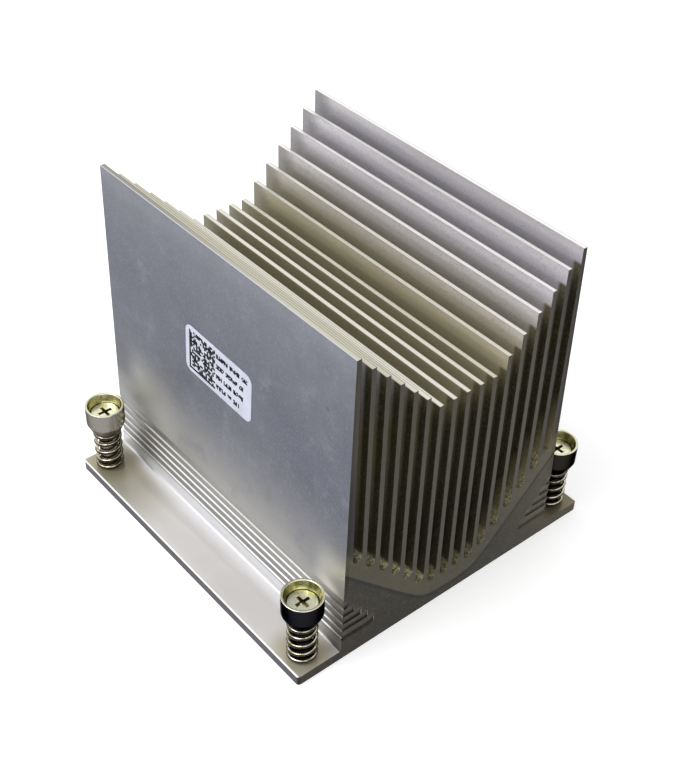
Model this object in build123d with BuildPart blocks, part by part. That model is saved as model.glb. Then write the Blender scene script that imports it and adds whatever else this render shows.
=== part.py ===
"""Passive cpu heatsink: an aluminium body with seventeen upright fins, held by four sprung captive screws.

Millimetres. X runs across the fins, Y runs along them and +Z is up. The origin is the centre of the
flat underside. The label is on the outer face of the first fin, on the -X side.
"""
import os
from math import cos, pi, radians, sin, tan

from build123d import *

# Base flange: its width follows from the fins and the screws beside them
base_length = 90.0
flange_thickness = 2.7
flange_corner_radius = 0.8
flange_edge_chamfer = 0.3

# Fins and the block that carries them
fin_count = 17
fin_height = 85.0
fin_span = 63.35
fin_tip = 1.2
fin_draft = 0.05
side_draft = 0.8
low_fin_count = 5
gap_width = 2.58
core_floor = 7.6
core_half_width = 7.6

# Ledges at the foot of the outer fins, which turn the corners of the block
ledge_count = 5
ledge_bottom = 6.8
ledge_pitch = 2.37
ledge_depth = 0.3
ledge_lip = 0.25
bottom_ledge_lip = 0.9
top_ledge_reach = 1.3
ledge_reach_step = 2.05
foot_fillet = 0.8

# Screws beside the fins, on an 80 x 80 mm pattern, and the hole in each corner of the flange
screw_to_fins = 8.325
screw_edge_distance = 5.0
running_clearance = 0.1
ring_pocket_depth = 1.4
ring_pocket_clearance = 0.35

# Spring
spring_height = 11.7
spring_coil_radius = 3.1
spring_wire_radius = 0.48
active_turns = 3.5
closed_turns = 0.875
closed_turn_pitch = 1.1
ground_share = 0.5
points_per_turn = 8

# Guide cup with its sleeve
cup_height = 7.7
cup_rim_radius = 4.88
cup_wall = 0.58
cup_waist_radius = 4.62
cup_neck_radius = 3.65
cup_cone_height = 2.6
head_seat_height = 3.1
sleeve_radius = 2.3
sleeve_tip_gap = 0.25
throat_length = 1.5

# Captive screw
head_radius = 3.5
head_height = 2.3
head_chamfer = 0.3
recess_width = 1.0
recess_span = 4.0
recess_depth = 1.4
thread_radius = 1.5
screw_neck_radius = 1.2
screw_play = 1.2
screw_tip_chamfer = 0.3

# Retaining ring under the flange
ring_radius = 3.55
ring_thickness = 0.5
ring_relief_radius = 2.75
ring_groove_depth = 0.35
ring_lug_width = 1.3
ring_mouth_width = 2.6
ring_fit = 0.04
ring_stop_gap = 0.05

# Label
label_width = 24.6
label_height = 13.0
label_corner_radius = 2.0
label_thickness = 0.12
label_centre_height = 53.7
label_centre_y = 0.4
label_turn = -2.0

# Places that several pieces share
screw_x = fin_span / 2 + screw_to_fins
screw_y = base_length / 2 - screw_edge_distance
base_width = 2 * (screw_x + screw_edge_distance)
fin_pitch = (fin_span - fin_tip) / (fin_count - 1)
middle_fin = (fin_count - 1) / 2
cup_bottom = flange_thickness + spring_height
cup_rim = cup_bottom + cup_height
head_seat = cup_bottom + head_seat_height
hole_radius = sleeve_radius + running_clearance
ring_top = ring_pocket_depth - ring_stop_gap
groove_radius = sleeve_radius - ring_groove_depth
screw_bore_radius = thread_radius + running_clearance
throat_radius = screw_neck_radius + running_clearance
throat_bottom = head_seat - throat_length
corners = {
    "front_left": (-1, -1),
    "front_right": (1, -1),
    "back_left": (-1, 1),
    "back_right": (1, 1),
}


def fin_x(number):
    """Middle plane of a fin, or of a gap when number ends in a half."""
    return (number - middle_fin) * fin_pitch


def fin_top(number):
    """Fins get one pitch lower with each step inwards, down to the level ones in the middle."""
    steps_down = min(middle_fin - abs(number - middle_fin), middle_fin - (low_fin_count - 1) / 2)
    return fin_height - steps_down * fin_pitch


def gap_floor(number):
    """Lowest point of the gap after a fin: level in the middle, then one pitch up with each gap outwards."""
    return core_floor + max(0, abs(fin_x(number + 0.5)) - core_half_width)


def side_x(height):
    """Outer face of the outer fins, which lean out towards the flange."""
    return fin_span / 2 + (fin_height - height) * tan(radians(side_draft))


def ledge_height(number):
    """Height of a ledge, counted upwards from the lowest."""
    return ledge_bottom + number * ledge_pitch


def side_profile():
    """Right side of the block from the underside to the top, with the small ledges at its foot."""
    points = [(side_x(0), 0)]
    for number in range(ledge_count):
        height = ledge_height(number)
        points.append((side_x(height), height - ledge_lip))
        points.append((side_x(height) - ledge_depth, height))
    top_ledge = ledge_height(ledge_count)
    points.append((side_x(top_ledge), top_ledge))
    points.append((side_x(fin_height), fin_height))
    return points


def flange_profile():
    """Right half of the flange, with its upper edge broken."""
    edge = base_width / 2
    return [
        (0, 0),
        (edge, 0),
        (edge, flange_thickness - flange_edge_chamfer),
        (edge - flange_edge_chamfer, flange_thickness),
        (0, flange_thickness),
    ]


def mirrored(points):
    """Closed outline from its right half."""
    return points + [(-x, z) for x, z in reversed(points) if x > 0]


def screw_axis(name):
    """Place of a corner's screw in X and Y."""
    side, end = corners[name]
    return side * screw_x, end * screw_y


def upright_plane(name):
    """Plane through a screw's axis, in which its round pieces are drawn."""
    x, y = screw_axis(name)
    return Plane(origin=(x, y, 0), x_dir=(1, 0, 0), z_dir=(0, -1, 0))


def turning_axis(name):
    """A screw's own axis."""
    x, y = screw_axis(name)
    return Axis((x, y, 0), (0, 0, 1))


def coil_point(name, step):
    """Point of the spring's wire: part of a closed turn at each end, and wider turns between them."""
    x, y = screw_axis(name)
    turn = step / points_per_turn
    lowest = flange_thickness + spring_wire_radius * ground_share
    closed_rise = closed_turns * closed_turn_pitch
    active_rise = spring_height - 2 * spring_wire_radius * ground_share - 2 * closed_rise
    if turn < closed_turns:
        height = turn * closed_turn_pitch
    elif turn > closed_turns + active_turns:
        height = closed_rise + active_rise + (turn - closed_turns - active_turns) * closed_turn_pitch
    else:
        height = closed_rise + (turn - closed_turns) * active_rise / active_turns
    angle = 2 * pi * turn
    return x + spring_coil_radius * cos(angle), y + spring_coil_radius * sin(angle), lowest + height


def save(piece, label):
    """Labels a finished piece and writes it."""
    piece.part.label = label
    export_step(piece.part, f"parts/{label}.step")


os.makedirs("parts", exist_ok=True)

# Heatsink body
with BuildPart() as body:
    with BuildSketch(Plane.XZ) as section:
        Polygon(*mirrored(side_profile()), align=None)
        Polygon(*mirrored(flange_profile()), align=None)
        foot = section.vertices().filter_by_position(
            Axis.Y, flange_thickness - 0.01, flange_thickness + 0.01
        )
        fillet([v for v in foot if abs(v.X) < side_x(0)], radius=foot_fillet)
        for fin in range(1, fin_count - 1):
            with Locations((fin_x(fin), fin_top(fin))):
                Rectangle(fin_pitch, fin_height, align=(Align.CENTER, Align.MIN), mode=Mode.SUBTRACT)
        for gap in range(fin_count - 1):
            middle = fin_x(gap + 0.5)
            round_centre = gap_floor(gap) + gap_width / 2
            mouth = gap_width / 2 + (fin_height - round_centre) * tan(radians(fin_draft))
            walls = [
                (middle - gap_width / 2, round_centre),
                (middle + gap_width / 2, round_centre),
                (middle + mouth, fin_height),
                (middle - mouth, fin_height),
            ]
            Polygon(*walls, align=None, mode=Mode.SUBTRACT)
            with Locations((middle, round_centre)):
                Circle(gap_width / 2, mode=Mode.SUBTRACT)
    extrude(amount=base_length / 2, both=True)
    flange_corners = body.edges().filter_by(Axis.Z).sort_by(lambda edge: -abs(edge.center().X))[:4]
    fillet(flange_corners, radius=flange_corner_radius)
    for number in range(ledge_count):
        height = ledge_height(number)
        lip = ledge_lip if number else bottom_ledge_lip
        reach = top_ledge_reach + (ledge_count - 1 - number) * ledge_reach_step
        for side in (-1, 1):
            with BuildSketch(Plane.YZ.offset(side * side_x(0))):
                for end in (-1, 1):
                    edge = end * base_length / 2
                    notch = [
                        (edge, height - lip),
                        (edge - end * ledge_depth, height),
                        (edge, height + ledge_pitch),
                    ]
                    Polygon(*notch, align=None)
            extrude(amount=-side * (side_x(0) - side_x(height) + reach), mode=Mode.SUBTRACT)
    with Locations(Plane.XY.rotated((180, 0, 0))):
        with GridLocations(2 * screw_x, 2 * screw_y, 2, 2):
            pocket_radius = ring_radius + ring_pocket_clearance
            CounterBoreHole(hole_radius, pocket_radius, ring_pocket_depth, flange_thickness)
save(body, "heatsink_body")

# Label on the first fin
label_lean = radians(side_draft)
label_plane = Plane(
    origin=(-side_x(label_centre_height), label_centre_y, label_centre_height),
    x_dir=(0, -1, 0),
    z_dir=(-cos(label_lean), 0, sin(label_lean)),
)
with BuildPart() as label:
    with BuildSketch(label_plane):
        RectangleRounded(label_width, label_height, label_corner_radius, rotation=label_turn)
    extrude(amount=label_thickness)
save(label, "label")

for corner in corners:
    # Guide cup, whose sleeve runs down through the flange
    with BuildPart() as guide_cup:
        with BuildSketch(upright_plane(corner)):
            outline = [
                (0, sleeve_tip_gap),
                (sleeve_radius, sleeve_tip_gap),
                (sleeve_radius, ring_top - ring_thickness - ring_stop_gap),
                (groove_radius, ring_top - ring_thickness - ring_stop_gap),
                (groove_radius, ring_pocket_depth),
                (sleeve_radius, ring_pocket_depth),
                (sleeve_radius, cup_bottom),
                (cup_neck_radius, cup_bottom),
                (cup_waist_radius, cup_bottom + cup_cone_height),
                (cup_rim_radius, cup_rim),
                (0, cup_rim),
            ]
            Polygon(*outline, align=None)
            seat_radius = head_radius + running_clearance
            hollow = [
                (0, 0),
                (screw_bore_radius, 0),
                (screw_bore_radius, throat_bottom),
                (throat_radius, throat_bottom),
                (throat_radius, head_seat),
                (seat_radius, head_seat),
                (seat_radius, head_seat + head_height),
                (cup_rim_radius - cup_wall, cup_rim),
                (0, cup_rim),
            ]
            Polygon(*hollow, align=None, mode=Mode.SUBTRACT)
        revolve(axis=turning_axis(corner))
    save(guide_cup, f"guide_cup_{corner}")

    # Captive screw, seated in the cup
    with BuildPart() as screw:
        thread_top = throat_bottom - screw_play
        seat = head_seat + ring_stop_gap
        with BuildSketch(upright_plane(corner)):
            outline = [
                (0, sleeve_tip_gap),
                (thread_radius - screw_tip_chamfer, sleeve_tip_gap),
                (thread_radius, sleeve_tip_gap + screw_tip_chamfer),
                (thread_radius, thread_top),
                (screw_neck_radius, thread_top),
                (screw_neck_radius, seat),
                (head_radius, seat),
                (head_radius, seat + head_height - head_chamfer),
                (head_radius - head_chamfer, seat + head_height),
                (0, seat + head_height),
            ]
            Polygon(*outline, align=None)
        revolve(axis=turning_axis(corner))
        x, y = screw_axis(corner)
        with BuildSketch(Plane(origin=(x, y, seat + head_height))):
            Rectangle(recess_span, recess_width)
            Rectangle(recess_width, recess_span)
        extrude(amount=-recess_depth, taper=12, mode=Mode.SUBTRACT)
    save(screw, f"screw_{corner}")

    # Coil spring between the flange and the cup, with ground ends
    with BuildPart() as spring:
        steps = round((active_turns + 2 * closed_turns) * points_per_turn)
        with BuildLine() as coil:
            Spline(*[coil_point(corner, step) for step in range(steps + 1)])
        with BuildSketch(Plane(origin=coil.line @ 0, z_dir=coil.line % 0)):
            Circle(spring_wire_radius)
        sweep(is_frenet=True)
        split(bisect_by=Plane.XY.offset(flange_thickness), keep=Keep.TOP)
        split(bisect_by=Plane.XY.offset(cup_bottom), keep=Keep.BOTTOM)
    save(spring, f"spring_{corner}")

    # Retaining ring in the sleeve's groove, under the flange
    with BuildPart() as ring:
        x, y = screw_axis(corner)
        with BuildSketch(Plane(origin=(x, y, ring_top - ring_thickness))):
            Circle(ring_radius)
            Circle(ring_relief_radius, mode=Mode.SUBTRACT)
            with PolarLocations(ring_relief_radius - ring_lug_width / 2, 3):
                Rectangle(2 * ring_lug_width, ring_lug_width)
            Circle(groove_radius + ring_fit, mode=Mode.SUBTRACT)
            with Locations((-ring_radius, 0)):
                Rectangle(ring_radius, ring_mouth_width, mode=Mode.SUBTRACT)
        extrude(amount=ring_thickness)
    save(ring, f"retaining_ring_{corner}")
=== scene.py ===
"""The look of a passive cpu heatsink: satin aluminium fins and base, four sprung captive screws, one label.

Everything is in metres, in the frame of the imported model: X across the fins, Y along them, Z up.
"""
import math
import random

import bmesh
import bpy
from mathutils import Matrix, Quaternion, Vector


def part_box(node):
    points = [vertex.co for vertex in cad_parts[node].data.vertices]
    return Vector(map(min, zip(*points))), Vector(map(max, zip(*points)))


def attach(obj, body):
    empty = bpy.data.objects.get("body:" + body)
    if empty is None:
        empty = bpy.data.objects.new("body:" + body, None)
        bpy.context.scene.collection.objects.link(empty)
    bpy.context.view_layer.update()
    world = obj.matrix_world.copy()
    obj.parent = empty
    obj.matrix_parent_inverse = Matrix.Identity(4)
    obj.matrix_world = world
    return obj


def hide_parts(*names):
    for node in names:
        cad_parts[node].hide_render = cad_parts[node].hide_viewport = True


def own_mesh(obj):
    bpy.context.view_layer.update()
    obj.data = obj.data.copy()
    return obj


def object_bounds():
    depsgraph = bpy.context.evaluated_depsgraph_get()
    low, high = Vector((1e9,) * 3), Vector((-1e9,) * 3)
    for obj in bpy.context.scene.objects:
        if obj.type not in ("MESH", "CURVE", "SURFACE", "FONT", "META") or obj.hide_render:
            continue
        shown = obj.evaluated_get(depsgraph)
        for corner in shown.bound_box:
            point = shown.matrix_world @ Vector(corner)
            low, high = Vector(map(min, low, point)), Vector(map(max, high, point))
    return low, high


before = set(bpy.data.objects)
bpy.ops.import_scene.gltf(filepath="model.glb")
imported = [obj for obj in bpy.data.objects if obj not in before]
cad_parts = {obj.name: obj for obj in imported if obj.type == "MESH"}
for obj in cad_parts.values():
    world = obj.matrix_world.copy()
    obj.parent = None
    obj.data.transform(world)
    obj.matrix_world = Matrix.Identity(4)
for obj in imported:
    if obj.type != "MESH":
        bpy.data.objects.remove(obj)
cad_low, cad_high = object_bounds()

MM = 0.001
CORNERS = ("front_left", "front_right", "back_left", "back_right")

# Camera, found from the flange's and fins' corners
CAMERA_PLACE = Vector((-159.0, -188.1, 235.8)) * MM
CAMERA_TARGET = Vector((3.9, -2.7, 35.0)) * MM
CAMERA_ROLL = math.radians(2.24)
CAMERA_LENS = 61.98
LONG_SIDE_OF_SENSOR = 36.0

# Shared heights and places of the body
FLANGE_TOP = 2.7 * MM
FIN_HEIGHT = cad_high.z
OUTER_FIN = 31.075 * MM
FIN_PITCH = OUTER_FIN / 8
LOW_FIN_TOP = FIN_HEIGHT - 6 * FIN_PITCH
CORE_FLOOR = 7.6 * MM
CORE_HALF_WIDTH = 7.6 * MM
SCREW_X = 40.0 * MM
SCREW_Y = 40.0 * MM

# Trough line under the gaps: level in the middle, then rising at 45 degrees
TROUGH_FLOOR = 2.1 * MM
TROUGH_HALF_WIDTH = 8.0 * MM
TROUGH_ROUNDING = 3.0 * MM

# Guide cup, seen in section: heights are above the cup's lowest point
CUP_WALL = 0.58 * MM
CUP_WAIST_RADIUS = 4.82 * MM
CUP_NECK_RADIUS = 3.65 * MM
CUP_CONE_HEIGHT = 2.6 * MM
CUP_HEIGHT = 7.7 * MM
SLEEVE_RADIUS = 2.3 * MM
SLEEVE_BORE = 1.6 * MM
THROAT_RADIUS = 1.3 * MM
THROAT_LENGTH = 1.5 * MM
SEAT_RADIUS = 3.6 * MM
SEAT_HEIGHT = 3.1 * MM
GROOVE_RADIUS = 1.95 * MM
GROOVE_LOW = 0.8 * MM
GROOVE_HIGH = 1.4 * MM

# Screw
HEAD_RADIUS = 3.5 * MM
HEAD_HEIGHT = 2.3 * MM
HEAD_EDGE = 0.2 * MM
RECESS_SPAN = 3.7 * MM
RECESS_WIDTH = 0.85 * MM
RECESS_DEPTH = 1.5 * MM
RECESS_SHRINK = 0.55
RECESS_OVERSIZE = 1.15
RECESS_OVERSHOOT = 0.5 * MM
THREAD_RADIUS = 1.5 * MM
SCREW_NECK_RADIUS = 1.2 * MM
SCREW_PLAY = 1.2 * MM
THREAD_PITCH = 0.5 * MM
THREAD_DEPTH = 0.16 * MM

# Spring
COIL_RADIUS = 3.1 * MM
WIRE_RADIUS = 0.48 * MM
ACTIVE_TURNS = 3.5
CLOSED_TURNS = 0.875
CLOSED_PITCH = 1.1 * MM
STEPS_A_TURN = 64
WIRE_STEPS = 14

# Generic print on the label, in millimetres from its middle: a block of squares and four rows of dashes
PRINT_SEED = 5
CODE_LEFT = -10.9
CODE_BOTTOM = -5.5
CODE_CELL = 0.52
CODE_COLUMNS = 19
CODE_ROWS = 21
CODE_SHARE = 0.6
ROWS_LEFT = -0.6
ROWS_BOTTOM = 3.7
ROW_PITCH = 2.85
ROW_WORDS = ((6, 5, 3), (4, 6, 2), (3, 4, 5), (5, 2, 3))
DASH_SHARE = 0.72
DASH_WIDTH = 0.36
DASH_HEIGHT = 0.4
WORD_GAP = 0.7
DASH_FILL = 0.9
DASH_LEVELS = 3
INK_GLOSS = 0.1
INK_THICKNESS = 0.02 * MM
LABEL_LIFT = 0.075 * MM
LABEL_LEAN = math.radians(0.8)
LABEL_TURN = math.radians(-2.0)

# Studio: the world is weaker for light that falls on the object than where it is seen
FLOOR_SIZE = 3.0
FLOOR_GLOW = 0.45
WORLD_ON_OBJECT = 0.6
WORLD_SEEN = 1.0
LAMP_TARGET = (0, 0, 0.03)

BODY_METALLIC = 0.85
ROUND_STEPS = 96
SHARP_ANGLE = math.radians(32)


def screw_place(corner):
    """Middle of a corner's screw in X and Y."""
    low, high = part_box(f"guide_cup_{corner}")
    return (low.x + high.x) / 2, (low.y + high.y) / 2


def linear(red, green, blue):
    """A colour as seen, 0 to 255, in the renderer's linear scale."""
    def channel(value):
        share = value / 255
        return share / 12.92 if share <= 0.04045 else ((share + 0.055) / 1.055) ** 2.4
    return channel(red), channel(green), channel(blue), 1.0


class Paint:
    """One node material round a Principled shader, worked out in the object's own coordinates."""

    def __init__(self, name, **constants):
        self.material = bpy.data.materials.new(name)
        self.material.use_nodes = True
        self.tree = self.material.node_tree
        self.shader = self.tree.nodes["Principled BSDF"]
        for key, value in constants.items():
            self.shader.inputs[key.replace("_", " ")].default_value = value

    def node(self, kind, **settings):
        made = self.tree.nodes.new(kind)
        for key, value in settings.items():
            setattr(made, key, value)
        return made

    def feed(self, socket, value):
        if isinstance(value, bpy.types.NodeSocket):
            self.tree.links.new(value, socket)
        else:
            socket.default_value = value

    def place(self):
        """X, Y and Z of the point on the object."""
        coordinates = self.node("ShaderNodeTexCoord")
        parts = self.node("ShaderNodeSeparateXYZ")
        self.feed(parts.inputs[0], coordinates.outputs["Object"])
        return parts.outputs[0], parts.outputs[1], parts.outputs[2]

    def facing(self, kind="Normal"):
        """X, Y and Z of the surface's direction."""
        geometry = self.node("ShaderNodeNewGeometry")
        parts = self.node("ShaderNodeSeparateXYZ")
        self.feed(parts.inputs[0], geometry.outputs[kind])
        return parts.outputs[0], parts.outputs[1], parts.outputs[2]

    def calc(self, operation, *values):
        made = self.node("ShaderNodeMath", operation=operation)
        for socket, value in zip(made.inputs, values):
            self.feed(socket, value)
        return made.outputs[0]

    def rise(self, value, start, end, low=0.0, high=1.0):
        """Goes smoothly from low to high while value goes from start to end."""
        made = self.node("ShaderNodeMapRange", interpolation_type="SMOOTHSTEP")
        for socket, number in zip(made.inputs, (value, start, end, low, high)):
            self.feed(socket, number)
        return made.outputs[0]

    def both(self, first, second):
        return self.calc("MULTIPLY", first, second)

    def mix(self, share, first, second):
        """The first colour where share is 0, the second where it is 1."""
        made = self.node("ShaderNodeMix", data_type="RGBA")
        self.feed(made.inputs[0], share)
        self.feed(made.inputs[6], first)
        self.feed(made.inputs[7], second)
        return made.outputs[2]

    def stretched(self, scale):
        """Object coordinates, stretched by a factor for each axis."""
        coordinates = self.node("ShaderNodeTexCoord")
        mapping = self.node("ShaderNodeMapping")
        self.feed(mapping.inputs["Vector"], coordinates.outputs["Object"])
        mapping.inputs["Scale"].default_value = scale
        return mapping.outputs[0]

    def noise(self, scale, stretch=(1, 1, 1), detail=4.0, rough=0.6):
        made = self.node("ShaderNodeTexNoise")
        self.feed(made.inputs["Vector"], self.stretched(stretch))
        self.feed(made.inputs["Scale"], scale)
        self.feed(made.inputs["Detail"], detail)
        self.feed(made.inputs["Roughness"], rough)
        return made.outputs["Fac"]

    def spots(self, scale, size, share):
        """Sparse round specks: cells of a given scale, of which about a share hold a speck."""
        cells = self.node("ShaderNodeTexVoronoi")
        self.feed(cells.inputs["Vector"], self.stretched((1, 1, 1)))
        self.feed(cells.inputs["Scale"], scale)
        near = self.rise(cells.outputs["Distance"], size, size * 0.4)
        parts = self.node("ShaderNodeSeparateColor")
        self.feed(parts.inputs[0], cells.outputs["Color"])
        return self.both(near, self.calc("LESS_THAN", parts.outputs[0], share))

    def shown_rays(self, strength):
        """A strength for rays that show the background, straight or mirrored, and none for the rest."""
        paths = self.node("ShaderNodeLightPath")
        shown = self.calc("MAXIMUM", paths.outputs["Is Camera Ray"], paths.outputs["Is Glossy Ray"])
        shown = self.calc("MAXIMUM", shown, paths.outputs["Is Transmission Ray"])
        return self.both(shown, strength)

    def colour(self, value):
        self.feed(self.shader.inputs["Base Color"], value)

    def roughness(self, value):
        self.feed(self.shader.inputs["Roughness"], value)

    def bump(self, height, strength, distance):
        made = self.node("ShaderNodeBump")
        self.feed(made.inputs["Height"], height)
        made.inputs["Strength"].default_value = strength
        made.inputs["Distance"].default_value = distance
        self.feed(self.shader.inputs["Normal"], made.outputs[0])


def tint(colour, share, *spans):
    """One tint over a surface: its colour as seen, its greatest share and the spans where it grows."""
    return linear(*colour), share, spans


# Spans that tell the body's faces apart: a measure of the paint, and from where to where its share grows.
# Lengths are in millimetres. Two more numbers are the levels that the share goes between, if not 0 and 1.
SIDE_FACE = ("facing_side", 0.45, 0.6)
END_FACE = ("facing_end", 0.45, 0.6)
UPPER_FACE = ("facing_up", 0.2, 0.3)
LEVEL_FACE = ("facing_up", 0.9, 0.95)
LEANING_FACE = ("facing_up", 0.95, 0.9)
OUTER_PLATE = ("across", 31.25, 31.4)
FLANGE_RIM = ("across", 44, 44.4)
BESIDE_FOOT = ("across", 38.5, 33.8)
ON_FLANGE = ("z", 4, 3)
ABOVE_FLANGE = ("z", 3, 4)
BELOW_PLATE = ("z", 19.5, 18.5)
BELOW_TOP_LEDGE = ("z", 19.5, 18.8)
ABOVE_LEDGES = ("z", 19, 24)
IN_GAP_FOOT = (("above_gap", 3.6, 2), ("across", 30, 29), ("along", 38, 43))
ON_TOPS = ("above_gap", 20, 25)
ON_FINS = ("above_gap", -1, 2.5)
GAP_FRONT = (("y", -42.4, -43.6), ("over_next", 0.5, -0.5))
GAP_BACK = (("y", 40.8, 42.2), ("over_next", -2.4, -4.4))
WALL_BACK = ("y", 37, 43, 0, 0.54)
WALL_FOOT = ("over_next", 0.5, -0.9, 0, 0.26)
SCREW_STAIN = (("off_screw", 10, 4), ("clouds", 0.25, 0.6, 0.6, 0.9))
FIRST_FIN_END = (("x", -30.1, -30.5), ("z", 66, 44, 0.2, 0.85))
UNDERSIDE = (("facing_up", -0.6, -0.9), ("z", 2.6, 2.4))

# A wall is shaded up to the top of the next fin and a margin over it, which is wider on the left half
NEXT_FIN_MARGIN = 0.6 * MM
LEFT_HALF = (-0.5 * MM, -3 * MM)
LEFT_MARGIN = 6 * MM
# The painted shade by an open end gives way to a pale foot, which reaches further up on the right
RIGHT_HALF = (-4 * MM, 20 * MM)
FOOT_REACH = (4 * MM, 15 * MM)

# Sheen of the body: how much less metallic the flange and the gap walls are, and the rougher outer plates
FLANGE_SATIN = (0.3, 0.7)
WALL_SATIN = 0.5
DRAWN_ROUGHNESS = (0.3, 0.44)
PLATE_ROUGHNESS = (0.46, 0.52)

# Outer plates: bluish, warmer and lighter towards the foot, clouded, with painted light low at each end, the
# one at the back a painted reflection of the cup
PLATE_FOOT = linear(160, 159, 155)
PLATE_TINTS = (
    tint((92, 95, 107), 1, ("z", 12, 46)),
    tint((126, 127, 135), 0.5, ("z", 60, 85)),
    tint((124, 126, 134), 0.35, ("clouds", 0.35, 0.7)),
    tint((84, 86, 96), 0.3, ("mottle", 0.5, 0.8)),
    tint((150, 152, 160), 0.3, ("mottle", 0.5, 0.2)),
    tint((156, 157, 164), 0.35, ("grain", 0.5, 0.75)),
    # Painted light low on the plates: a painted reflection of the cup towards the back, and a painted light
    # patch at the front
    tint((206, 204, 196), 0.4, ("y", 14, 28), ("y", 42, 32), ("z", 42, 24)),
    tint((228, 225, 212), 0.8, ("y", -33, -42), ("z", 34, 20)),
    tint((84, 86, 92), 0.55, ("y", 34, 42), ("z", 24, 30), ("z", 44, 34)),
    tint((160, 162, 170), 0.15, ("z", 79, 84)),
)
PLATE_SPECKS = linear(188, 190, 198)

# Gap walls: pale high up, olive and darker lower down as painted shade deep in the gaps, and grainy painted
# shade where an end of the gap is seen
WALL_MIDDLE = linear(182, 175, 142)
WALL_TINTS = (
    tint((210, 206, 214), 1, ("z", 60, 78)),
    tint((60, 56, 42), 1, ("z", 54, 22)),
    tint((124, 121, 128), 0.15, ("x", 29, 30)),
    tint((134, 129, 112), 0.4, ("grain", 0.45, 0.75)),
)
# Painted shade on the walls below the next fin's top and near the back end
WALL_SHADE = linear(24, 22, 17)
DEEP_WALL = linear(62, 58, 43)
DEEP_TOP_TINTS = (tint((104, 98, 76), 1, ("over_next", -9, -1)),)
DEEP_FOOT = linear(92, 87, 64)
DEEP_FOOT_TINTS = (
    tint((62, 58, 42), 1, ("x", -18, -6)),
    tint((180, 171, 132), 1, ("x", 2, 22)),
)
DEEP_GRAIN_TINTS = (
    tint((28, 24, 15), 0.6, ("grain", 0.5, 0.65)),
    tint((112, 106, 80), 0.6, ("grain", 0.48, 0.36)),
)

# Round floors of the gaps by an open end: yellowish, duller in the middle
GAP_FLOOR = linear(252, 246, 208)
GAP_FLOOR_TINTS = (
    tint((204, 196, 160), 1, ("x", -12, -4)),
    tint((246, 238, 198), 1, ("x", 2, 16)),
    tint((150, 143, 112), 0.5, ("clouds", 0.4, 0.6)),
    tint((84, 78, 56), 0.8, ("grain", 0.4, 0.6)),
)

# Foot of the plates: bands between the ledges, a riser under them made pale as a painted highlight, duller
# ends, and the ledges' lips, pale as a painted highlight on their upward faces
BAND = linear(132, 131, 131)
BAND_TINTS = (
    tint((150, 149, 148), 1, ("z", 8, 18)),
    # Riser under the ledges: painted highlight
    tint((226, 226, 229), 1, ("z", 6.6, 5.8)),
    tint((100, 96, 88), 0.7, ("y", -30, -44)),
    tint((100, 96, 88), 0.2, ("y", 40, 45)),
)
# Upward faces of the ledges, pale as a painted highlight
LIP_HIGHLIGHT = linear(226, 225, 224)
LIP_TINTS = (tint((196, 194, 190), 1, ("z", 12, 17)),)

# Flange: pale, cooler beside the foot, stained round the screws, duller at the back and on the far side
FLANGE = linear(233, 229, 226)
FLANGE_TINTS = (
    tint((242, 238, 235), 1, ("clouds", 0.4, 0.65)),
    tint((208, 209, 213), 0.6, BESIDE_FOOT),
)
STAIN = linear(190, 182, 150)
STAIN_TINTS = (tint((158, 151, 118), 1, ("y", -36, 36)),)
FLANGE_END_TINTS = (
    tint((170, 164, 138), 0.7, ("y", 12, 32), ("across", 33, 36)),
    tint((104, 96, 70), 0.85, ("x", 30, 34)),
)
# Rim of the flange: painted shade on its side faces and a painted highlight along its chamfer
FLANGE_RIM_SHADE_AND_HIGHLIGHT = (
    tint((62, 58, 66), 1, FLANGE_RIM, SIDE_FACE),
    tint((246, 244, 246), 1, FLANGE_RIM, UPPER_FACE, LEANING_FACE),
)

# Tops of the fins: yellower on the left, whiter on the right, with a dull line of painted shade along both
# edges of each
FIN_TOP = linear(231, 228, 217)
FIN_TOP_TINTS = (
    tint((204, 201, 184), 1, ("x", -12, -20)),
    tint((250, 249, 246), 1, ("x", 9, 20)),
    # Painted shade along both edges of each fin's top
    tint((112, 106, 82), 0.75, ("off_fin", 0.36, 0.56)),
    tint((128, 126, 120), 0.7, ("x", -29, -30), ("y", -30, 30)),
    tint((214, 214, 220), 1, ("across", 31.35, 31.5)),
)

# Cut ends, their brown darkened as painted shade on faces turned from the light: the block, with a lighter
# band above the trough line, and the fins
BLOCK_END = linear(22, 17, 6)
BLOCK_END_TINTS = (
    tint((34, 28, 14), 1, ("streaks", 0.3, 0.7)),
    tint((78, 73, 56), 0.75, ("above_line", 0, 0.6)),
    tint((84, 77, 50), 0.5, ("x", 5, 40)),
    tint((24, 20, 10), 0.35, ("clouds", 0.4, 0.65)),
    tint((86, 79, 56), 0.35, ("grain", 0.45, 0.7)),
    tint((6, 5, 3), 0.95, ("off_line", 0.84, 0.315)),
)
FIN_END = linear(56, 52, 43)
FIN_END_TINTS = (
    tint((70, 65, 54), 1, ("streaks", 0.3, 0.7)),
    tint((60, 57, 47), 1, ("z", 42, 56)),
    tint((26, 23, 16), 0.8, ("x", 20, 31)),
    tint((18, 16, 10), 1, *FIRST_FIN_END),
)

# Machined underside, and the few dark specks that lie anywhere
MACHINED = linear(172, 171, 168)
MACHINED_TINTS = (tint((150, 149, 147), 1, ("streaks", 0.3, 0.7)),)
DARK_SPECKS = linear(45, 42, 40)


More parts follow.
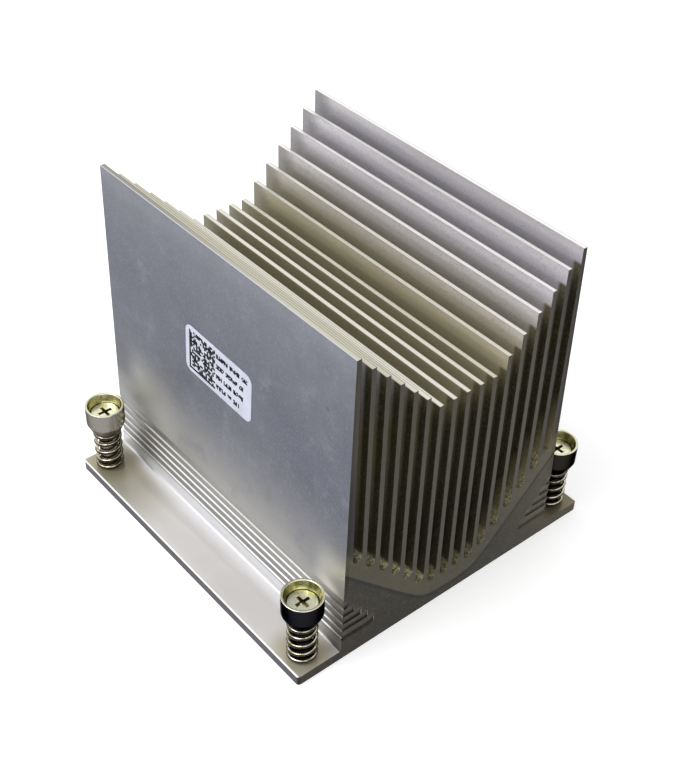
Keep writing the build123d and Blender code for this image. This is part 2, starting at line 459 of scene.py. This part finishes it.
class BodyPaint(Paint):
    """Bare aluminium of the body, told apart by place and by the way a face looks."""

    def __init__(self):
        super().__init__("aluminium_drawn", Metallic=BODY_METALLIC)
        self.x, self.y, self.z = self.place()
        facing_x, facing_y, facing_z = self.facing("True Normal")
        self.across = self.calc("ABSOLUTE", self.x)
        self.along = self.calc("ABSOLUTE", self.y)
        self.streaks = self.noise(90, stretch=(4, 0.25, 6), detail=5)
        self.clouds = self.noise(28, detail=3)
        self.grain = self.noise(1900, detail=3, rough=0.7)
        self.above_gap = self.height_above_gap()
        above_line = self.height_above_line()
        self.lengths = {
            "x": self.x,
            "y": self.y,
            "z": self.z,
            "across": self.across,
            "along": self.along,
            "above_gap": self.above_gap,
            "over_next": self.height_over_next_fin(),
            "above_line": above_line,
            "off_line": self.calc("ABSOLUTE", above_line),
            "off_screw": self.distance_from_screw(),
            "off_fin": self.distance_from_fin(),
        }
        self.shares = {
            "facing_side": self.calc("ABSOLUTE", facing_x),
            "facing_end": self.calc("ABSOLUTE", facing_y),
            "facing_up": facing_z,
            "streaks": self.streaks,
            "clouds": self.clouds,
            "grain": self.grain,
            "mottle": self.noise(150, detail=4, rough=0.7),
        }

    def height_above_gap(self):
        """Height above the gap floors: level in the middle, then as much higher as further out."""
        beyond_core = self.calc("MAXIMUM", self.calc("SUBTRACT", self.across, CORE_HALF_WIDTH), 0.0)
        return self.calc("SUBTRACT", self.calc("SUBTRACT", self.z, beyond_core), CORE_FLOOR)

    def height_over_next_fin(self):
        """Height over the top of the next fin on the left, which hides the wall below it."""
        on_left = self.rise(self.x, *LEFT_HALF, 0, LEFT_MARGIN)
        next_top = self.calc("ADD", self.across, FIN_HEIGHT - OUTER_FIN - FIN_PITCH + NEXT_FIN_MARGIN)
        next_top = self.calc("MAXIMUM", self.calc("ADD", next_top, on_left), LOW_FIN_TOP)
        return self.calc("SUBTRACT", self.z, next_top)

    def height_above_line(self):
        """Height above the trough line on the cut ends."""
        past_flat = self.calc("SUBTRACT", self.across, TROUGH_HALF_WIDTH)
        bend = self.calc("SQRT", self.calc("ADD", self.both(past_flat, past_flat), TROUGH_ROUNDING**2))
        half_rise = self.both(self.calc("ADD", past_flat, bend), 0.5)
        return self.calc("SUBTRACT", self.calc("SUBTRACT", self.z, TROUGH_FLOOR), half_rise)

    def distance_from_screw(self):
        off_x = self.calc("SUBTRACT", self.across, SCREW_X)
        off_y = self.calc("SUBTRACT", self.along, SCREW_Y)
        return self.calc("SQRT", self.calc("ADD", self.both(off_x, off_x), self.both(off_y, off_y)))

    def distance_from_fin(self):
        """Distance across from the middle plane of the nearest fin."""
        fin = self.calc("DIVIDE", self.x, FIN_PITCH)
        off_middle = self.calc("ABSOLUTE", self.calc("SUBTRACT", fin, self.calc("ROUND", fin)))
        return self.both(off_middle, FIN_PITCH)

    def where(self, *spans):
        """Share of the paint at a point: the product of its spans, each from 0 to 1 or between two levels."""
        share = 1.0
        for measure, start, end, *levels in spans:
            if measure in self.lengths:
                grown = self.rise(self.lengths[measure], start * MM, end * MM, *levels)
            else:
                grown = self.rise(self.shares[measure], start, end, *levels)
            share = self.both(grown, share)
        return share

    def tinted(self, colour, tints):
        """A colour with tints laid over it one by one."""
        for tone, share, spans in tints:
            colour = self.mix(self.both(self.where(*spans), share), colour, tone)
        return colour

    def plates(self):
        """Outer faces of the outer fins, with pale specks over their tints."""
        specks = self.both(self.spots(scale=330, size=0.11, share=0.3), 0.3)
        return self.mix(specks, self.tinted(PLATE_FOOT, PLATE_TINTS), PLATE_SPECKS)

    def gap_walls(self):
        """Faces inside the gaps, with painted shade below the next fin's top and near the back end, and
        darker painted shade where an open end looks into a gap.
        """
        shade = self.calc("MAXIMUM", self.where(WALL_BACK), self.where(WALL_FOOT))
        wall = self.mix(shade, self.tinted(WALL_MIDDLE, WALL_TINTS), WALL_SHADE)
        reach = self.rise(self.x, *RIGHT_HALF, *FOOT_REACH)
        near_floor = self.calc("SUBTRACT", 1.0, self.calc("DIVIDE", self.above_gap, reach))
        foot = self.tinted(DEEP_FOOT, DEEP_FOOT_TINTS)
        end_shade = self.mix(near_floor, self.tinted(DEEP_WALL, DEEP_TOP_TINTS), foot)
        end_shade = self.tinted(end_shade, DEEP_GRAIN_TINTS)
        return self.mix(self.calc("ADD", self.where(*GAP_FRONT), self.where(*GAP_BACK)), wall, end_shade)

    def flange(self):
        """Upper face of the flange, stained round each screw."""
        colour = self.tinted(FLANGE, FLANGE_TINTS)
        colour = self.mix(self.where(*SCREW_STAIN), colour, self.tinted(STAIN, STAIN_TINTS))
        return self.tinted(colour, FLANGE_END_TINTS)

    def ends(self):
        """Cut end faces of the block and the fins."""
        block = self.tinted(BLOCK_END, BLOCK_END_TINTS)
        return self.mix(self.where(ON_FINS), block, self.tinted(FIN_END, FIN_END_TINTS))


def aluminium():
    """The body's material: plates, gap walls, ledges, flange, fin tops and cut ends."""
    paint = BodyPaint()
    outer = paint.where(OUTER_PLATE)
    on_flange = paint.where(LEVEL_FACE, ON_FLANGE)
    colour = paint.mix(outer, paint.gap_walls(), paint.plates())
    surfaces = (
        (paint.where(OUTER_PLATE, BELOW_PLATE), paint.tinted(BAND, BAND_TINTS)),
        # Upward faces of the ledges get their painted highlight
        (paint.where(UPPER_FACE, ABOVE_FLANGE, BELOW_TOP_LEDGE), paint.tinted(LIP_HIGHLIGHT, LIP_TINTS)),
        (on_flange, paint.flange()),
        (paint.where(*IN_GAP_FOOT), paint.tinted(GAP_FLOOR, GAP_FLOOR_TINTS)),
        (paint.where(UPPER_FACE, ON_TOPS), paint.tinted(FIN_TOP, FIN_TOP_TINTS)),
    )
    for share, surface in surfaces:
        colour = paint.mix(share, colour, surface)
    # Painted shade and painted highlight on the flange's rim
    colour = paint.tinted(colour, FLANGE_RIM_SHADE_AND_HIGHLIGHT)
    colour = paint.mix(paint.where(END_FACE), colour, paint.ends())
    colour = paint.mix(paint.where(*UNDERSIDE), colour, paint.tinted(MACHINED, MACHINED_TINTS))
    specks = paint.both(paint.spots(scale=95, size=0.09, share=0.05), paint.where(("clouds", 0.45, 0.6)))
    paint.colour(paint.mix(paint.both(specks, 0.7), colour, DARK_SPECKS))

    satin_flange = paint.both(on_flange, paint.rise(paint.where(BESIDE_FOOT), 0, 1, *FLANGE_SATIN))
    satin_walls = paint.both(paint.where(SIDE_FACE), paint.rise(outer, 1, 0, 0, WALL_SATIN))
    satin = paint.calc("MAXIMUM", satin_flange, satin_walls)
    paint.feed(paint.shader.inputs["Metallic"], paint.calc("SUBTRACT", BODY_METALLIC, satin))
    drawn = paint.rise(paint.streaks, 0.25, 0.75, *DRAWN_ROUGHNESS)
    plain = paint.rise(paint.clouds, 0.3, 0.7, *PLATE_ROUGHNESS)
    share = paint.both(paint.where(OUTER_PLATE, ABOVE_LEDGES), paint.calc("SUBTRACT", plain, drawn))
    paint.roughness(paint.calc("ADD", drawn, share))
    paint.bump(paint.grain, strength=0.12, distance=0.05 * MM)
    return paint.material


def plated(name, wall, inner_side, place):
    """Plated steel of one cup: a tinted hollow, a pale rim and a wall painted with the reflections it shows,
    changing towards the fins.
    """
    paint = Paint(name, Metallic=1.0)
    paint.shader.inputs["Specular Tint"].default_value = linear(150, 150, 150)
    x, y = paint.place()[:2]
    from_axis_x = paint.calc("SUBTRACT", x, place[0])
    from_axis_y = paint.calc("SUBTRACT", y, place[1])
    facing_x, facing_y, facing_z = paint.facing()
    outward = paint.calc("ADD", paint.both(from_axis_x, facing_x), paint.both(from_axis_y, facing_y))
    hollow = paint.rise(outward, 0.0, -0.3 * MM)
    cloud = paint.noise(420, detail=4)
    sheen = paint.noise(260, (1, 1, 0.5), detail=2)
    inner = paint.mix(paint.rise(sheen, 0.38, 0.62), linear(112, 110, 70), linear(218, 215, 176))
    inner = paint.mix(paint.rise(cloud, 0.45, 0.75, 0, 0.4), inner, linear(104, 101, 60))
    towards_fins = from_axis_x if place[0] < 0 else paint.both(from_axis_x, -1.0)
    outer = paint.mix(paint.rise(towards_fins, -1.5 * MM, 3 * MM), linear(*wall), linear(*inner_side))
    colour = paint.mix(hollow, outer, inner)
    top = paint.rise(facing_z, 0.25, 0.7)
    colour = paint.mix(top, colour, linear(226, 223, 196))
    paint.colour(colour)
    paint.roughness(paint.rise(cloud, 0.3, 0.7, 0.18, 0.32))
    return paint.material


def screw_metal():
    """The screw's plating, with tiny pits on the head: pale on the head's top and darker on every other face
    as painted shade, which darkens the recess.
    """
    paint = Paint("screw_plating", Metallic=1.0)
    facing_z = paint.facing()[2]
    grain = paint.noise(1500, detail=3)
    top = paint.rise(facing_z, 0.8, 0.95)
    face = paint.mix(paint.rise(grain, 0.4, 0.7), linear(254, 252, 224), linear(228, 225, 184))
    paint.colour(paint.mix(top, linear(132, 124, 88), face))
    paint.roughness(paint.rise(grain, 0.3, 0.7, 0.24, 0.4))
    paint.bump(grain, strength=0.15, distance=0.05 * MM)
    return paint.material


def spring_wire():
    """Bright spring wire, with painted shade on its lower side and sides and a painted highlight along its
    top.
    """
    paint = Paint("spring_wire", Metallic=1.0)
    facing_z = paint.facing()[2]
    grain = paint.noise(900, detail=2)
    bright = paint.mix(paint.rise(grain, 0.35, 0.65), linear(224, 219, 200), linear(150, 141, 112))
    paint.colour(paint.mix(paint.rise(facing_z, 0.45, 0.9), linear(40, 34, 25), bright))
    paint.roughness(paint.rise(grain, 0.3, 0.7, 0.16, 0.26))
    return paint.material


def ring_steel():
    """Stamped steel of the retaining rings."""
    paint = Paint("ring_steel", Metallic=1.0)
    grain = paint.noise(600, detail=3)
    paint.colour(paint.mix(grain, linear(120, 120, 120), linear(160, 160, 158)))
    paint.roughness(paint.rise(grain, 0.3, 0.7, 0.3, 0.45))
    return paint.material


def label_film():
    """Pale printed film, clouded in tone."""
    paint = Paint("label_film", Metallic=0.0)
    cloud = paint.noise(160, detail=3)
    paint.colour(paint.mix(paint.rise(cloud, 0.35, 0.7), linear(208, 211, 228), linear(197, 200, 218)))
    paint.roughness(paint.rise(cloud, 0.3, 0.7, 0.4, 0.55))
    return paint.material


def label_ink():
    """Dark print."""
    paint = Paint("label_ink", Metallic=0.0)
    paint.shader.inputs["Specular IOR Level"].default_value = INK_GLOSS
    cloud = paint.noise(700, detail=2)
    paint.colour(paint.mix(paint.rise(cloud, 0.35, 0.65), linear(4, 4, 6), linear(16, 16, 20)))
    paint.roughness(paint.rise(cloud, 0.3, 0.7, 0.45, 0.6))
    return paint.material


def floor_paint():
    """Pale floor, which shows white to the camera where nothing shades it."""
    paint = Paint("floor_pale", Metallic=0.0, Roughness=0.9)
    cloud = paint.noise(3, detail=2)
    paint.colour(paint.mix(cloud, (0.84, 0.84, 0.84, 1), (0.86, 0.86, 0.86, 1)))
    paint.feed(paint.shader.inputs["Emission Color"], (1, 1, 1, 1))
    paint.feed(paint.shader.inputs["Emission Strength"], paint.shown_rays(FLOOR_GLOW))
    return paint.material


def add_piece(name, mesh, material, body):
    """Links a finished mesh as a piece that rides on a body."""
    piece = bpy.data.objects.new(name, mesh)
    bpy.context.scene.collection.objects.link(piece)
    mesh.materials.clear()
    mesh.materials.append(material)
    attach(piece, body)
    return piece


def dress(node, material):
    """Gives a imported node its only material."""
    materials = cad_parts[node].data.materials
    materials.clear()
    materials.append(material)


def finish_mesh(name, work):
    """Turns a bmesh into a mesh with smooth faces and sharp corners."""
    bmesh.ops.remove_doubles(work, verts=work.verts, dist=1e-7)
    bmesh.ops.recalc_face_normals(work, faces=work.faces)
    for face in work.faces:
        face.smooth = True
    for edge in work.edges:
        if len(edge.link_faces) == 2 and edge.calc_face_angle(0) > SHARP_ANGLE:
            edge.smooth = False
    mesh = bpy.data.meshes.new(name)
    work.to_mesh(mesh)
    work.free()
    return mesh


def turned(name, profile, place, height):
    """A closed outline of radius and height, turned round an upright axis."""
    work = bmesh.new()
    rings = []
    for radius, level in profile:
        if radius < 1e-9:
            rings.append([work.verts.new((place[0], place[1], height + level))])
            continue
        ring = []
        for step in range(ROUND_STEPS):
            angle = 2 * math.pi * step / ROUND_STEPS
            ring.append(
                work.verts.new(
                    (place[0] + radius * math.cos(angle), place[1] + radius * math.sin(angle), height + level)
                )
            )
        rings.append(ring)
    for first, second in zip(rings, rings[1:] + rings[:1]):
        if len(first) == 1 and len(second) == 1:
            continue
        for step in range(ROUND_STEPS):
            after = (step + 1) % ROUND_STEPS
            corners = [first[step % len(first)], first[after % len(first)]]
            corners += [second[after % len(second)], second[step % len(second)]]
            unique = list(dict.fromkeys(corners))
            work.faces.new(unique)
    return finish_mesh(name, work)


def rounded(corner, before, after, radius, steps=5):
    """Points of a small arc in place of an outline's corner."""
    corner, before, after = Vector(corner), Vector(before), Vector(after)
    start = corner + (before - corner).normalized() * radius
    end = corner + (after - corner).normalized() * radius
    return [
        tuple(
            (1 - t) ** 2 * start[axis] + 2 * t * (1 - t) * corner[axis] + t * t * end[axis] for axis in (0, 1)
        )
        for t in (step / steps for step in range(steps + 1))
    ]


def soften(points, sizes):
    """An outline with the named corners rounded: sizes maps a corner's place in the list to its radius."""
    made = []
    for place, point in enumerate(points):
        if place in sizes:
            made += rounded(point, points[place - 1], points[(place + 1) % len(points)], sizes[place])
        else:
            made.append(point)
    return made


def cup_mesh(corner):
    """Guide cup with its sleeve, groove and stepped bore."""
    low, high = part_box(f"guide_cup_{corner}")
    bottom = high.z - CUP_HEIGHT
    seat = bottom + SEAT_HEIGHT
    rim_radius = (high.x - low.x) / 2
    outline = [
        (SLEEVE_BORE, low.z),
        (SLEEVE_RADIUS, low.z),
        (SLEEVE_RADIUS, GROOVE_LOW),
        (GROOVE_RADIUS, GROOVE_LOW),
        (GROOVE_RADIUS, GROOVE_HIGH),
        (SLEEVE_RADIUS, GROOVE_HIGH),
        (SLEEVE_RADIUS, bottom),
        (CUP_NECK_RADIUS, bottom),
        (CUP_WAIST_RADIUS, bottom + CUP_CONE_HEIGHT),
        (rim_radius, high.z),
        (rim_radius - CUP_WALL, high.z),
        (SEAT_RADIUS, seat + HEAD_HEIGHT),
        (SEAT_RADIUS, seat),
        (THROAT_RADIUS, seat),
        (THROAT_RADIUS, seat - THROAT_LENGTH),
        (SLEEVE_BORE, seat - THROAT_LENGTH),
    ]
    sizes = {7: 0.3 * MM, 8: 0.12 * MM, 9: 0.22 * MM, 10: 0.22 * MM, 11: 0.4 * MM}
    return turned(f"cup_{corner}", soften(outline, sizes), screw_place(corner), 0.0)


def cross_cutter(place, top):
    """Tapered cross that cuts the recess."""
    work = bmesh.new()
    for long_axis in (0, 1):
        rings = []
        for level, share in ((top + RECESS_OVERSHOOT, RECESS_OVERSIZE), (top - RECESS_DEPTH, RECESS_SHRINK)):
            half = [RECESS_WIDTH / 2 * (0.5 + share / 2)] * 2
            half[long_axis] = RECESS_SPAN / 2 * share
            signs = ((-1, -1), (1, -1), (1, 1), (-1, 1))
            rings.append(
                [work.verts.new((place[0] + a * half[0], place[1] + b * half[1], level)) for a, b in signs]
            )
        upper, lower = rings
        work.faces.new(upper)
        work.faces.new(lower[::-1])
        for step in range(4):
            after = (step + 1) % 4
            work.faces.new((upper[step], lower[step], lower[after], upper[after]))
    bmesh.ops.recalc_face_normals(work, faces=work.faces)
    mesh = bpy.data.meshes.new("cross_cutter")
    work.to_mesh(mesh)
    work.free()
    cutter = bpy.data.objects.new("cross_cutter", mesh)
    bpy.context.scene.collection.objects.link(cutter)
    return cutter


def screw_mesh(corner):
    """Screw with a flat head rounded at its edge, a cross recess, a neck and a cut thread."""
    low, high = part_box(f"screw_{corner}")
    seat = high.z - HEAD_HEIGHT
    thread_top = seat - THROAT_LENGTH - SCREW_PLAY
    outline = [(0.0, low.z), (THREAD_RADIUS - THREAD_DEPTH * 2, low.z)]
    turns = int((thread_top - low.z) / THREAD_PITCH) - 1
    for turn in range(turns):
        level = low.z + (turn + 0.75) * THREAD_PITCH
        outline += [(THREAD_RADIUS - THREAD_DEPTH, level), (THREAD_RADIUS, level + THREAD_PITCH / 2)]
    outline += [
        (SCREW_NECK_RADIUS, thread_top),
        (SCREW_NECK_RADIUS, seat),
        (HEAD_RADIUS, seat),
        (HEAD_RADIUS, high.z),
        (0.0, high.z),
    ]
    outline = soften(outline, {len(outline) - 2: HEAD_EDGE})
    mesh = turned(f"screw_{corner}", outline, screw_place(corner), 0.0)
    blank = bpy.data.objects.new("blank", mesh)
    bpy.context.scene.collection.objects.link(blank)
    cutter = cross_cutter(screw_place(corner), high.z)
    cut = blank.modifiers.new("recess", "BOOLEAN")
    cut.operation = "DIFFERENCE"
    cut.solver = "EXACT"
    cut.use_self = True
    cut.object = cutter
    shown = blank.evaluated_get(bpy.context.evaluated_depsgraph_get())
    work = bmesh.new()
    work.from_mesh(shown.to_mesh())
    bpy.data.objects.remove(blank)
    bpy.data.objects.remove(cutter)
    return finish_mesh(f"screw_{corner}", work)


def spring_mesh(corner):
    """Coil spring: most of a closed turn at each end, ground flat where it seats."""
    place = screw_place(corner)
    bottom, top = FLANGE_TOP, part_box(f"guide_cup_{corner}")[1].z - CUP_HEIGHT
    inset = WIRE_RADIUS / 2
    closed_rise = CLOSED_TURNS * CLOSED_PITCH
    active_rise = top - bottom - 2 * inset - 2 * closed_rise
    work = bmesh.new()
    rings = []
    for step in range(round((ACTIVE_TURNS + 2 * CLOSED_TURNS) * STEPS_A_TURN) + 1):
        turn = step / STEPS_A_TURN
        if turn < CLOSED_TURNS:
            level = turn * CLOSED_PITCH
        elif turn > CLOSED_TURNS + ACTIVE_TURNS:
            level = closed_rise + active_rise + (turn - CLOSED_TURNS - ACTIVE_TURNS) * CLOSED_PITCH
        else:
            level = closed_rise + (turn - CLOSED_TURNS) * active_rise / ACTIVE_TURNS
        angle = 2 * math.pi * turn
        ring = []
        for part in range(WIRE_STEPS):
            around = 2 * math.pi * part / WIRE_STEPS
            radius = COIL_RADIUS + WIRE_RADIUS * math.cos(around)
            z = bottom + inset + level + WIRE_RADIUS * math.sin(around)
            z = min(max(z, bottom), top)
            ring.append(
                work.verts.new((place[0] + radius * math.cos(angle), place[1] + radius * math.sin(angle), z))
            )
        rings.append(ring)
    for first, second in zip(rings, rings[1:]):
        for part in range(WIRE_STEPS):
            after = (part + 1) % WIRE_STEPS
            work.faces.new((first[part], second[part], second[after], first[after]))
    work.faces.new(rings[0][::-1])
    work.faces.new(rings[-1])
    return finish_mesh(f"spring_{corner}", work)


def label_frame():
    """Middle, right and up directions and outward direction of the label's face, as a viewer sees it."""
    low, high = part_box("label")
    outward = Vector((-math.cos(LABEL_LEAN), 0, math.sin(LABEL_LEAN)))
    level = Vector((0, -1, 0))
    right = Quaternion(outward, LABEL_TURN) @ level
    up = outward.cross(right)
    middle = (low + high) / 2 + outward * LABEL_LIFT
    return middle, right, up, outward


def label_marks():
    """Generic print: a block of squares on one half and rows of dashes on the other."""
    middle, right, up, outward = label_frame()
    work = bmesh.new()

    def mark(left, bottom, wide, tall):
        corners = ((left, bottom), (left + wide, bottom), (left + wide, bottom + tall), (left, bottom + tall))
        places = [middle + right * a * MM + up * b * MM for a, b in corners]
        base = [work.verts.new(point) for point in places]
        top = [work.verts.new(point + outward * INK_THICKNESS) for point in places]
        work.faces.new(base[::-1])
        work.faces.new(top)
        for step in range(4):
            after = (step + 1) % 4
            work.faces.new((base[step], base[after], top[after], top[step]))

    draw = random.Random(PRINT_SEED)
    for column in range(CODE_COLUMNS):
        for row in range(CODE_ROWS):
            if column == 0 or row == 0 or draw.random() < CODE_SHARE:
                mark(CODE_LEFT + column * CODE_CELL, CODE_BOTTOM + row * CODE_CELL, CODE_CELL, CODE_CELL)
    for row, words in enumerate(ROW_WORDS):
        left = ROWS_LEFT
        for word in words:
            for place in range(word * 2):
                for level in range(DASH_LEVELS):
                    if draw.random() < DASH_SHARE:
                        bottom = ROWS_BOTTOM - row * ROW_PITCH + level * DASH_HEIGHT
                        mark(left + place * DASH_WIDTH, bottom, DASH_WIDTH * DASH_FILL, DASH_HEIGHT)
            left += word * 2 * DASH_WIDTH + WORD_GAP
    return finish_mesh("label_marks", work)


def camera():
    """Camera at the photograph's angle."""
    data = bpy.data.cameras.new("camera")
    data.sensor_width = LONG_SIDE_OF_SENSOR
    data.lens = CAMERA_LENS
    data.clip_start = 0.01
    data.clip_end = 10.0
    made = bpy.data.objects.new("camera", data)
    bpy.context.scene.collection.objects.link(made)
    made.rotation_mode = "QUATERNION"
    made.location = CAMERA_PLACE
    looking = (CAMERA_TARGET - CAMERA_PLACE).to_track_quat("-Z", "Y")
    made.rotation_quaternion = looking @ Quaternion((0, 0, 1), CAMERA_ROLL)
    bpy.context.scene.camera = made


def lamp(name, place, size, power):
    """Soft square lamp, turned to the object: size in metres, power in watts."""
    data = bpy.data.lights.new(name, "AREA")
    data.size = size
    data.energy = power
    made = bpy.data.objects.new(name, data)
    bpy.context.scene.collection.objects.link(made)
    made.location = place
    made.rotation_mode = "QUATERNION"
    made.rotation_quaternion = (Vector(LAMP_TARGET) - Vector(place)).to_track_quat("-Z", "Y")


def studio():
    """Pale floor, white background and soft lamps."""
    mesh = bpy.data.meshes.new("floor")
    half = FLOOR_SIZE / 2
    corners = [(-half, -half, 0), (half, -half, 0), (half, half, 0), (-half, half, 0)]
    mesh.from_pydata(corners, [], [(0, 1, 2, 3)])
    floor = bpy.data.objects.new("floor", mesh)
    bpy.context.scene.collection.objects.link(floor)
    mesh.materials.append(floor_paint())

    world = bpy.data.worlds.new("studio")
    bpy.context.scene.world = world
    world.use_nodes = True
    tree = world.node_tree
    background = tree.nodes["Background"]
    paths = tree.nodes.new("ShaderNodeLightPath")
    seen = tree.nodes.new("ShaderNodeMath")
    seen.operation = "ADD"
    tree.links.new(paths.outputs["Is Camera Ray"], seen.inputs[0])
    tree.links.new(paths.outputs["Is Glossy Ray"], seen.inputs[1])
    also = tree.nodes.new("ShaderNodeMath")
    also.operation = "ADD"
    also.use_clamp = True
    tree.links.new(seen.outputs[0], also.inputs[0])
    tree.links.new(paths.outputs["Is Transmission Ray"], also.inputs[1])
    level = tree.nodes.new("ShaderNodeMapRange")
    level.inputs["To Min"].default_value = WORLD_ON_OBJECT
    level.inputs["To Max"].default_value = WORLD_SEEN
    tree.links.new(also.outputs[0], level.inputs["Value"])
    tree.links.new(level.outputs[0], background.inputs["Strength"])
    background.inputs["Color"].default_value = (1, 1, 1, 1)

    lamp("key_lamp", place=(-0.45, 0.15, 0.75), size=0.5, power=4.0)
    lamp("fill_lamp", place=(-0.3, -0.7, 0.5), size=0.6, power=1.2)


dress("heatsink_body", aluminium())
dress("label", label_film())
add_piece("label_marks", label_marks(), label_ink(), "heatsink")

# Each cup's outer wall, painted with the reflections it shows: colour away from the fins, and towards them
CUP_WALL_REFLECTIONS = {
    "front_left": ((30, 30, 34), (40, 39, 36)),
    "front_right": ((32, 30, 26), (40, 38, 34)),
    "back_left": ((132, 128, 122), (188, 184, 158)),
    "back_right": ((50, 48, 45), (66, 63, 56)),
}
head_material, wire_material, ring_material = screw_metal(), spring_wire(), ring_steel()
for corner in CORNERS:
    place = screw_place(corner)
    cup = add_piece(
        f"turned_cup_{corner}", cup_mesh(corner), plated(f"cup_plating_{corner}", *CUP_WALL_REFLECTIONS[corner], place),
        f"guide_{corner}",
    )
    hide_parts(f"guide_cup_{corner}")
    screw = add_piece(
        f"cross_screw_{corner}", screw_mesh(corner), head_material, f"turning_screw_{corner}"
    )
    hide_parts(f"screw_{corner}")
    spring = add_piece(
        f"coil_spring_{corner}", spring_mesh(corner), wire_material, "heatsink"
    )
    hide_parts(f"spring_{corner}")
    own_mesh(spring)
    dress(f"retaining_ring_{corner}", ring_material)

studio()
camera()
bpy.context.scene.view_settings.view_transform = "Standard"
